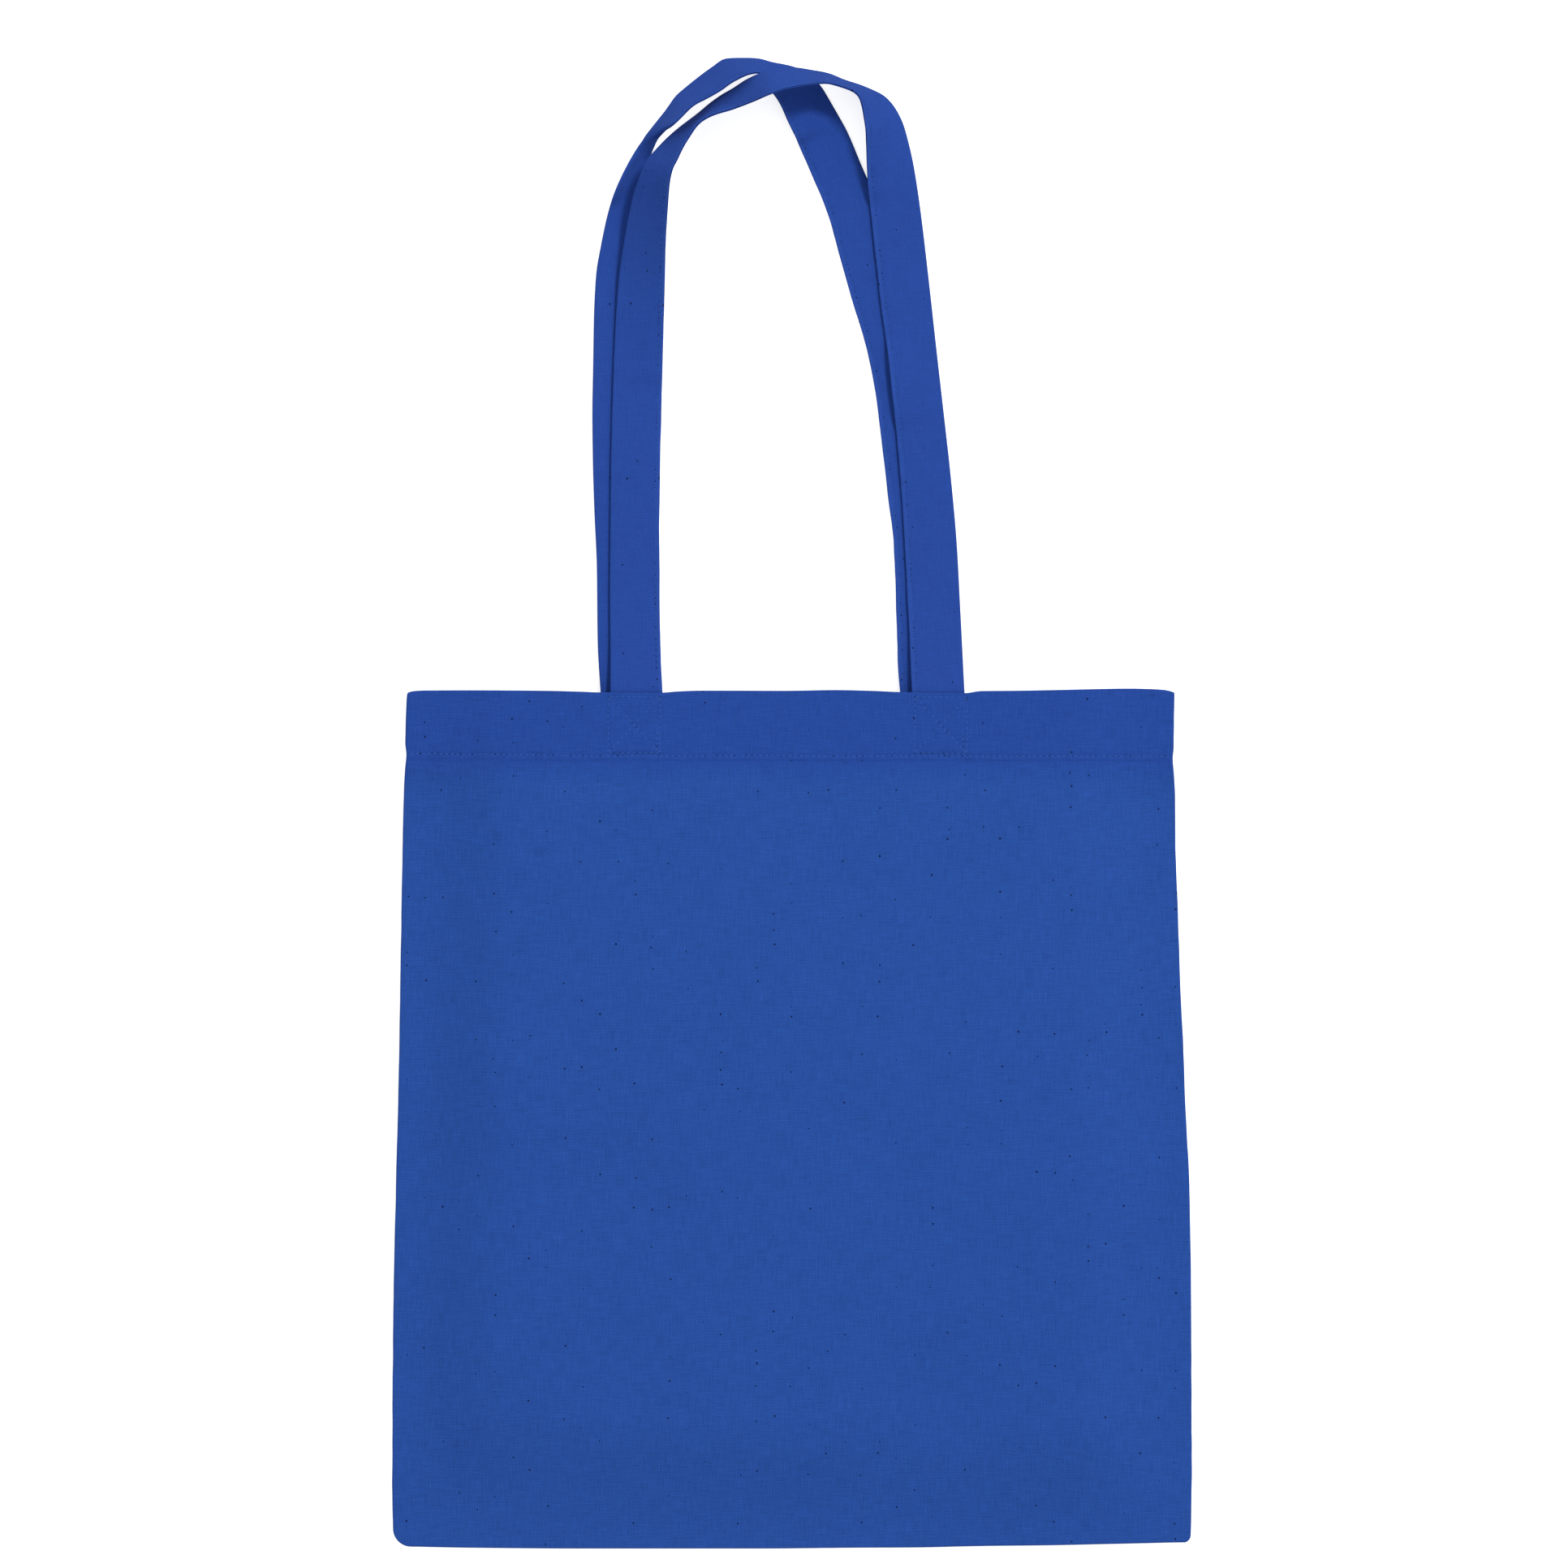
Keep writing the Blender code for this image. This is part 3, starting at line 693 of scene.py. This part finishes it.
# each station, in millimetres: where the outer edge lies, across and up, where the inner edge lies,
# and the outer edge's height if it isn't restHeight; the inner edge stands up wherever the two lie
# closer than the strap is wide
frontHandle = {
    "tucks": {}, "restHeight": 2.8,
    "stations": (
        (-89.0, 54.7, -63.6, 54.7, 9.0), (-89.0, 75.0, -64.5, 75.0, 5.2), (-89.3, 98.7, -64.9, 98.7, 3.4),
        (-89.1, 130.3, -65.1, 130.3), (-88.9, 154.0, -64.9, 154.0), (-88.3, 185.6, -64.2, 185.6),
        (-87.1, 221.2, -63.4, 220.3), (-85.1, 252.8, -62.6, 249.9, 4.2),
        (-82.3, 272.5, -62.2, 269.1, 6.6), (-77.6, 296.1, -61.0, 291.9, 13.0),
        (-74.4, 305.2, -60.1, 302.1, 17.2), (-71.2, 312.6, -58.6, 308.3, 18.8),
        (-66.1, 318.5, -56.4, 312.6, 18.2), (-61.0, 323.7, -53.6, 318.9, 15.5),
        (-55.1, 328.7, -50.3, 324.5, 13.0), (-50.0, 332.5, -47.1, 329.3, 10.5),
        (-45.6, 335.9, -43.6, 332.4, 8.5), (-41.3, 339.7, -37.7, 335.1, 9.0),
        (-35.0, 344.4, -30.4, 337.1, 9.5), (-29.0, 347.8, -24.9, 339.0, 12.2),
        (-22.7, 351.9, -18.2, 341.6, 17.2), (-16.4, 354.7, -12.3, 344.2, 22.2),
        (-11.6, 356.0, -8.1, 345.7, 23.6), (-6.9, 357.0, -3.8, 347.3, 22.2),
        (0.2, 357.6, 2.2, 348.5, 19.0), (8.9, 356.5, 9.3, 349.6, 10.8), (16.8, 355.1, 16.0, 350.2),
        (24.7, 351.9, 22.7, 348.7, 0.6), (32.6, 349.4, 29.4, 346.1, 0.6), (38.5, 347.0, 32.1, 343.4, 0.6),
        (43.3, 344.8, 33.5, 338.9, 0.6), (47.6, 340.9, 34.5, 333.0, 0.6), (51.1, 335.7, 35.3, 327.1),
        (53.5, 330.6, 35.5, 321.2), (55.5, 323.9, 35.7, 315.0), (58.3, 312.0, 36.0, 305.5),
        (60.6, 298.2, 37.1, 293.7), (63.0, 280.4, 38.9, 277.1), (66.2, 252.8, 41.8, 250.3),
        (69.7, 221.2, 46.0, 218.3), (73.3, 189.6, 49.5, 187.1), (76.8, 158.0, 52.3, 156.3),
        (79.6, 126.4, 54.3, 125.2), (81.3, 94.8, 55.9, 94.0, 3.6), (83.3, 54.7, 57.8, 54.7, 9.0),
    ),
}
backHandle = {
    # stations where the strap is tucked: 1 stands the inner edge up as elsewhere, -1 sinks it
    "tucks": {10: -0.5, 11: -0.6, 12: -0.65, 13: -0.55, 14: 0.1, 15: 0.75, 27: 0.95, 28: 0.9, 29: 0.93},
    "restHeight": 0.6,
    "stations": (
        (-93.8, 54.7, -68.3, 54.7, 3.2), (-95.2, 79.0, -69.7, 79.0, 1.8), (-95.6, 114.5, -70.1, 114.5),
        (-96.8, 142.2, -71.3, 142.2), (-97.6, 169.8, -72.1, 169.8), (-97.8, 189.6, -72.3, 190.4),
        (-97.4, 213.3, -72.1, 214.4), (-97.0, 237.0, -71.9, 238.5), (-96.0, 256.7, -71.3, 260.6),
        (-93.4, 272.5, -70.1, 280.8), (-89.9, 288.3, -68.9, 300.5, 3.0),
        (-87.1, 296.2, -71.6, 307.8, 10.0), (-83.9, 303.7, -70.2, 313.7, 12.5),
        (-80.0, 311.4, -68.1, 319.2, 12.5), (-76.6, 317.4, -65.7, 323.9, 9.5),
        (-72.3, 324.1, -60.6, 328.1, 10.8), (-69.3, 327.8, -58.4, 329.8, 11.0),
        (-66.2, 331.8, -55.8, 332.2, 9.8), (-63.0, 335.7, -53.1, 335.0, 8.2),
        (-59.8, 340.1, -50.3, 337.9, 6.4), (-57.5, 343.6, -47.2, 340.3, 4.7),
        (-53.1, 347.6, -42.8, 342.5, 3.1), (-48.4, 351.5, -38.9, 344.6, 1.8),
        (-43.3, 355.5, -34.5, 347.2, 1.0), (-37.7, 359.4, -30.2, 350.4), (-33.8, 362.2, -27.0, 352.1),
        (-28.6, 362.6, -23.9, 353.7), (-22.7, 362.6, -19.9, 355.0), (-16.4, 362.2, -16.0, 355.3),
        (-10.9, 360.6, -13.6, 351.9), (-4.9, 359.6, -11.6, 348.4), (1.0, 358.3, -9.5, 344.9),
        (5.3, 356.3, -7.7, 342.6), (9.3, 353.5, -6.1, 339.8), (12.4, 350.4, -4.5, 336.3),
        (14.8, 347.2, -3.0, 332.8), (18.0, 341.7, -1.0, 328.5), (21.5, 335.7, 1.0, 324.5),
        (25.9, 327.8, 3.9, 317.4), (29.4, 319.9, 6.9, 310.7), (32.6, 312.0, 10.1, 303.2),
        (35.7, 304.9, 13.2, 296.1), (42.0, 291.3, 17.6, 284.4), (46.5, 274.9, 21.9, 268.6),
        (53.0, 252.0, 28.6, 244.9), (60.2, 227.7, 35.7, 221.2), (65.4, 201.6, 40.3, 197.5),
        (68.5, 177.0, 43.2, 173.8), (71.3, 152.9, 46.0, 150.1), (74.2, 128.6, 48.8, 126.4),
        (75.4, 95.4, 50.0, 94.8, 1.2), (76.6, 63.6, 51.1, 63.2, 2.6), (77.3, 54.7, 51.9, 54.7, 3.2),
    ),
}


def softened(values):
    inner = [(a + 2 * b + c) / 4 for a, b, c in zip(values, values[1:], values[2:])]
    return [values[0], *inner, values[-1]]


def sewnEnd(edge):
    # the straight end of a strap, down inside the hem
    downs = [strap["sewnLength"] * step / strap["sewnSteps"] for step in range(1, strap["sewnSteps"] + 1)]
    return [Vector((edge.x, bag["mouthY"] - down, edge.z)) for down in downs]


def handleFrames(handle):
    # outer edge, width direction and face normal at close steps along a handle, and the length so far
    knots = []
    for place, (x, y, farX, farY, *lifted) in enumerate(handle["stations"]):
        lengths = (x, y, farX, farY, lifted[0] if lifted else handle["restHeight"])
        knots.append((*(length / 1000 for length in lengths), handle["tucks"].get(place, 1.0)))
    middles = [((x + farX) / 2, (y + farY) / 2) for x, y, farX, farY, _, _ in knots]
    places = [0.0]
    for before, after in zip(middles, middles[1:]):
        places.append(places[-1] + math.dist(before, after))
    tracks = [smoothTrack(list(zip(places, values))) for values in zip(*knots)]
    count = round(places[-1] / strap["step"])
    samples = [[track(places[-1] * step / count) for track in tracks] for step in range(count + 1)]
    edges, widths = [], []
    for x, y, farX, farY, height, tuck in samples:
        across = Vector((farX - x, farY - y, 0.0))
        cloth = max(across.length, strap["width"] * strap["narrowest"])
        across.z = tuck * math.sqrt(max(0.0, cloth * cloth - across.length_squared))
        edges.append(Vector((x, y, height)))
        widths.append(across / strap["width"])
    for _ in range(strap["smoothing"]):
        edges = softened(edges)
        widths = softened(widths)
    edges = sewnEnd(edges[0])[::-1] + edges + sewnEnd(edges[-1])
    widths = [widths[0]] * strap["sewnSteps"] + widths + [widths[-1]] * strap["sewnSteps"]
    middles = [edge + width * strap["width"] / 2 for edge, width in zip(edges, widths)]
    run, frames = 0.0, []
    for here in range(len(middles)):
        if here:
            run += (middles[here] - middles[here - 1]).length
        ahead = middles[min(here + 1, len(middles) - 1)] - middles[max(here - 1, 0)]
        frames.append((edges[here], widths[here], widths[here].cross(ahead).normalized(), run))
    return frames


def strapSection():
    # half of a cut across the strap, from the round outer fold to the turned inner edge: across, up
    thick, far = strap["halfThick"], strap["width"]
    fold = [(thick - thick * math.cos(turn), thick * math.sin(turn)) for turn in strap["foldTurns"]]
    flat = [(across, thick) for across in strap["flatPlaces"]]
    valley = [(far - strap["stitchInset"] + off, thick) for off in strap["stitchPlaces"]]
    return fold + flat + valley + [(far - inset, up) for inset, up in strap["lip"]]


def strapRelief(across, run, side):
    # the sewn valley along the inner edge, small puckers beside it and a slight unevenness all over
    offStitch = across - (strap["width"] - strap["stitchInset"])
    depth, width = strap["valley"]
    relief = -depth * bell(offStitch, width)
    relief += rippled(run, across, strap["puckers"], side) * bell(offStitch, strap["puckerReach"])
    fade = ease(across / strap["outerFade"]) * ease((strap["width"] - across) / strap["innerFade"])
    return relief + fade * rippled(run, across * strap["faceSquash"], strap["faceRipple"])


def makeHandle(name, frames, node, seed):
    section = strapSection()
    slit = len(section) - 1
    firstFlat = len(strap["foldTurns"])
    pastValley = firstFlat + len(strap["flatPlaces"]) + len(strap["stitchPlaces"])
    points, mapPoints, loops = [], [], []
    for edge, width, normal, run in frames:
        ring = []
        wander = sum(rippled(run, seed, waves, seed) for waves in strap["edgeWander"])
        wander *= ease((run - strap["wanderStart"]) / strap["wanderStart"])
        for side in (1, -1):
            order = range(len(section)) if side == 1 else range(len(section) - 2, 0, -1)
            for place in order:
                across, up = section[place]
                lift = strapRelief(across, run, side) if firstFlat <= place < pastValley else 0.0
                shared = rippled(run, across, strap["bow"], seed)
                spread = across + wander * ease(across / strap["width"])
                point = edge + width * spread + normal * (side * (up + lift) + shared)
                ring.append(len(points))
                points.append(tuple(point))
                mapPoints.append((run, across))
        loops.append(ring)
    faces = []
    skinRings(loops, faces)
    # a strap's cut ends, closed from face to face
    for ring, flip in ((loops[0], True), (loops[-1], False)):
        size = len(ring)
        for here in range(slit):
            above = [ring[here], ring[here + 1]]
            below = [ring[(size - here - 1) % size], ring[(size - here) % size]]
            addPatch(faces, above + below, flip)
    made = makeObject(name, points, faces, strapCotton, mapPoints)
    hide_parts(node)
    return made


frontFrames = handleFrames(frontHandle)
backFrames = handleFrames(backHandle)
frontStrap = makeHandle("frontStrap", frontFrames, "front_handle", strap["frontSeed"])
backStrap = makeHandle("backStrap", backFrames, "back_handle", strap["backSeed"])
print("handles made:", len(frontStrap.data.polygons) + len(backStrap.data.polygons), "faces")


# stitching: one stitch is modelled and laid along every seam

stitch = {
    "pitch": 0.00285, "length": 0.00235, "thick": 0.00042, "sides": 6,
    # how deep a stitch's ends sink, from what share of its half length, and how far it stands out
    "sink": 0.00030, "sinkStart": 0.45, "stand": 0.22,
    "unevenness": 0.10, "nip": 0.0001, "lineStep": 0.002, "endInset": 0.0012,
    # where stitches and needle holes take their unevenness in the noise: along, by line, and seed
    "wobble": (0.37, 0.71, 4.4), "chance": (0.83, 1.9, 8.8),
    # the discs painted as shade in the needle holes: their radius and its spread, their lift over the cloth,
    # the point sunk under them and the point raised over them
    "hole": 0.00031, "holeShare": 0.66, "holeRange": 1.1,
    "holeRim": 0.00004, "holeDepth": 0.00022, "holeSkin": 0.00002,
    # the stitches beside each box that were run over twice
    "doubledInset": 0.0016, "doubledHeight": 0.011,
}


def modelStitch():
    # a plump run of thread whose ends dive into their needle holes
    sides = stitch["sides"]
    bpy.ops.object.select_all(action="DESELECT")
    bpy.ops.mesh.primitive_uv_sphere_add(
        segments=sides, ring_count=sides, radius=0.5, rotation=(0, math.pi / 2, 0))
    made = bpy.context.object
    bpy.ops.object.transform_apply(location=False, rotation=True, scale=False)
    bpy.ops.object.mode_set(mode="EDIT")
    bpy.ops.mesh.select_all(action="SELECT")
    bpy.ops.transform.resize(value=(stitch["length"], stitch["thick"], stitch["thick"]))
    bpy.ops.object.mode_set(mode="OBJECT")
    points = []
    for vertex in made.data.vertices:
        along = abs(vertex.co.x) / (stitch["length"] / 2)
        dip = stitch["sink"] * ease((along - stitch["sinkStart"]) / (1 - stitch["sinkStart"]))
        points.append(Vector((vertex.co.x, vertex.co.y, vertex.co.z - dip)))
    faces = [tuple(face.vertices) for face in made.data.polygons]
    bpy.data.objects.remove(made)
    return points, faces


stitchPoints, stitchFaces = modelStitch()


def lineFollower(line):
    # a line's length, and its spot and face normal at any run along it
    lengths = [0.0]
    for before, after in zip(line, line[1:]):
        lengths.append(lengths[-1] + (after[0] - before[0]).length)

    def placeAt(run):
        run = min(max(run, 0.0), lengths[-1])
        part = min(max(bisect.bisect_right(lengths, run) - 1, 0), len(lengths) - 2)
        share = (run - lengths[part]) / (lengths[part + 1] - lengths[part])
        spot = line[part][0].lerp(line[part + 1][0], share)
        return spot, line[part][1].lerp(line[part + 1][1], share).normalized()

    return lengths[-1], placeAt


def stitchNoise(here, number, steps):
    alongStep, lineStep, seed = steps
    return ripple(here * alongStep, number * lineStep, 1.0, seed)


# a small near-black disc over a needle hole, painted shade of its pit: a low cone over the cloth and a point
# sunk below it
def addHoleShade(points, faces, holes, start, directions, radius):
    along, side, up = directions
    sides, first = stitch["sides"], len(points)
    centre = start + up * stitch["holeRim"]
    for turn in range(sides):
        angle = 2 * math.pi / sides * turn
        points.append(tuple(centre + (along * math.cos(angle) + side * math.sin(angle)) * radius))
    points.append(tuple(centre - up * stitch["holeDepth"]))
    points.append(tuple(centre + up * stitch["holeSkin"]))
    for turn in range(sides):
        after = (turn + 1) % sides
        holes.extend((len(faces), len(faces) + 1))
        faces.append((first + turn, first + after, first + sides + 1))
        faces.append((first + after, first + turn, first + sides))


def layStitches(name, lines, node, yarn):
    # lines: runs of (place, face normal) that the stitches follow
    points, faces, holes = [], [], []
    for number, line in enumerate(lines):
        length, placeAt = lineFollower(line)
        count = max(1, round(length / stitch["pitch"]))
        pitch = length / count
        for here in range(count):
            wobble = stitch["unevenness"] * stitchNoise(here, number, stitch["wobble"])
            middle, normal = placeAt((here + 0.5) * pitch)
            start = placeAt(here * pitch + stitch["nip"])[0]
            end = placeAt((here + 1) * pitch - stitch["nip"])[0]
            along = (end - start).normalized()
            side = normal.cross(along).normalized()
            up = along.cross(side).normalized()
            along = (along + side * wobble).normalized()
            side = up.cross(along).normalized()
            first = len(points)
            for point in stitchPoints:
                height = point.z + stitch["thick"] * stitch["stand"]
                offset = along * point.x * (1 + wobble) + side * point.y + up * height
                points.append(tuple(middle + offset))
            faces.extend(tuple(first + corner for corner in face) for face in stitchFaces)
            chance = stitchNoise(here, number, stitch["chance"])
            radius = stitch["hole"] * (stitch["holeShare"] + stitch["holeRange"] * chance)
            addHoleShade(points, faces, holes, start, (along, side, up), radius)
    mesh = bpy.data.meshes.new(name)
    mesh.from_pydata(points, [], faces)
    mesh.materials.append(yarn)
    mesh.materials.append(paintedHoleShade)
    # the needle holes' discs take the painted shade material
    for face in holes:
        mesh.polygons[face].material_index = 1
    mesh.shade_smooth()
    made = bpy.data.objects.new(name, mesh)
    bpy.context.scene.collection.objects.link(made)
    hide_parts(node)
    return made


def faceNormal(pointAt, x, y, sign):
    gap = 0.001
    acrossRun = pointAt(x + gap, y) - pointAt(x - gap, y)
    upRun = pointAt(x, y + gap) - pointAt(x, y - gap)
    return acrossRun.cross(upRun).normalized() * sign


def panelLine(pointAt, sign, start, end):
    # a straight run of stitching on one of the bag's faces
    count = max(2, round(math.dist(start, end) / stitch["lineStep"]))
    line = []
    for step in range(count + 1):
        x = start[0] + (end[0] - start[0]) * step / count
        y = start[1] + (end[1] - start[1]) * step / count
        line.append((pointAt(x, y), faceNormal(pointAt, x, y, sign)))
    return line


def hemLines():
    # one line all round outside, and the same line seen inside the bag
    left, right = sideLeft(stitchY) + stitch["endInset"], sideRight(stitchY) - stitch["endInset"]
    lines = []
    for inset, proud, turned in ((0.0, 0.0, 1), (bag["seamWidth"], -bag["hemStack"], -1)):
        for panelPoint, sign in ((frontPoint, 1), (backPoint, -1)):
            def pointAt(x, y):
                return panelPoint(x, y, proud)

            lines.append(panelLine(pointAt, sign * turned, (left + inset, stitchY), (right - inset, stitchY)))
    return lines


def boxLines(pointAt, sign, middle):
    # a sewn box with a cross in it, and the few stitches that were run over twice
    half = bag["patchHalf"] - bag["lineInset"]
    left, right, top, low = middle - half, middle + half, patchTop, patchBottom
    corners = [(left, top), (right, top), (right, low), (left, low)]
    runs = [*zip(corners, corners[1:] + corners[:1]), (corners[3], corners[1]), (corners[0], corners[2])]
    x = right - stitch["doubledInset"]
    runs.append(((x, low + bag["lineInset"]), (x, low + stitch["doubledHeight"])))
    return [panelLine(pointAt, sign, start, end) for start, end in runs]


def edgeLines(frames):
    # the line that closes a strap's turned edges shows on both faces
    across = strap["width"] - strap["stitchInset"]
    up = strap["halfThick"] - strap["valley"][0]
    free = frames[strap["sewnSteps"]:-strap["sewnSteps"]]
    lines = []
    for side in (1, -1):
        line = []
        for edge, width, normal, run in free:
            line.append((edge + width * across + normal * side * up, normal * side))
        lines.append(line)
    return lines


layers = [
    layStitches("hemStitches", hemLines(), "hem_stitching", thread),
    layStitches("frontStrapStitches", edgeLines(frontFrames), "front_handle_stitching", edgeThread),
    layStitches("backStrapStitches", edgeLines(backFrames), "back_handle_stitching", edgeThread),
]
for sideName, pointAt, sign, patches in (
    ("front", frontPoint, 1, bag["frontPatches"]),
    ("back", backPoint, -1, bag["backPatches"]),
):
    for hand, middle in zip(("left", "right"), patches):
        boxName = f"{sideName}{hand.title()}Box"
        lines = boxLines(pointAt, sign, middle)
        layers.append(layStitches(boxName, lines, f"cross_stitching_{sideName}_{hand}", thread))
print("stitching laid:", sum(len(layer.data.polygons) for layer in layers), "faces")


# every piece joins the one body, root

for piece in (bagCloth, frontStrap, backStrap, *layers):
    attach(piece, "root")


# floor, light and camera

studio = {
    "floorSize": 7.0, "floorDrop": 0.0004, "floorColour": 0.82, "floorGlow": 0.72, "skyLevel": 0.47,
    # each lamp's place, size and watts
    "lamps": (
        ((1.56, 2.48, 3.54), 0.7, 108.0),
        ((-2.20, 1.20, 3.10), 2.2, 17.0),
        ((1.80, -2.20, 2.80), 2.4, 24.0),
    ),
    "cameraOver": (-0.0045, 0.0095), "cameraHeight": 20.0, "frameWidth": 0.7631, "sensorWidth": 36.0,
}


def lightPathShare(tree):
    # 1 for what the camera, a reflection or a clear piece sees directly
    path = addNode(tree, "LightPath")
    seen = maths(tree, "MAXIMUM", path.outputs["Is Camera Ray"], path.outputs["Is Glossy Ray"])
    return maths(tree, "MAXIMUM", seen, path.outputs["Is Transmission Ray"])


def makeFloor():
    bpy.ops.object.select_all(action="DESELECT")
    bpy.ops.mesh.primitive_plane_add(size=studio["floorSize"], location=(0, 0, -studio["floorDrop"]))
    floor = bpy.context.object
    floor.name = "studioFloor"
    level = studio["floorColour"]
    material, tree, shader = newMaterial("studioPaper", (level, level, level), 1.0)
    glow = addNode(tree, "Emission")
    strength = maths(tree, "MULTIPLY", lightPathShare(tree), studio["floorGlow"])
    tree.links.new(strength, glow.inputs["Strength"])
    both = addNode(tree, "AddShader", (shader.outputs[0], glow.outputs[0]))
    tree.links.new(both.outputs[0], tree.nodes["Material Output"].inputs["Surface"])
    floor.data.materials.append(material)


def makeSky():
    world = bpy.data.worlds.new("studioSky")
    bpy.context.scene.world = world
    world.use_nodes = True
    tree = world.node_tree
    soft = tree.nodes["Background"]
    white = addNode(tree, "Background")
    for background, strength in ((soft, studio["skyLevel"]), (white, 1.0)):
        background.inputs["Color"].default_value = (1, 1, 1, 1)
        background.inputs["Strength"].default_value = strength
    mix = addNode(tree, "MixShader", (lightPathShare(tree), soft.outputs[0], white.outputs[0]))
    tree.links.new(mix.outputs[0], tree.nodes["World Output"].inputs["Surface"])


def makeLamps():
    # every lamp points at the middle of the bag
    for place, size, watts in studio["lamps"]:
        turn = (-Vector(place)).to_track_quat("-Z", "Y").to_euler()
        bpy.ops.object.light_add(type="AREA", location=place, rotation=turn)
        lamp = bpy.context.object
        lamp.data.shape = "SQUARE"
        lamp.data.size = size
        lamp.data.energy = watts
        lamp.visible_camera = False


def makeCamera():
    x, y = studio["cameraOver"]
    bpy.ops.object.camera_add(location=(x, y, studio["cameraHeight"]), rotation=(0, 0, 0))
    camera = bpy.context.object
    camera.data.sensor_width = studio["sensorWidth"]
    camera.data.lens = studio["sensorWidth"] * studio["cameraHeight"] / studio["frameWidth"]
    bpy.context.scene.camera = camera


makeFloor()
makeSky()
makeLamps()
makeCamera()
bpy.context.scene.view_settings.view_transform = "Standard"
print("studio set")
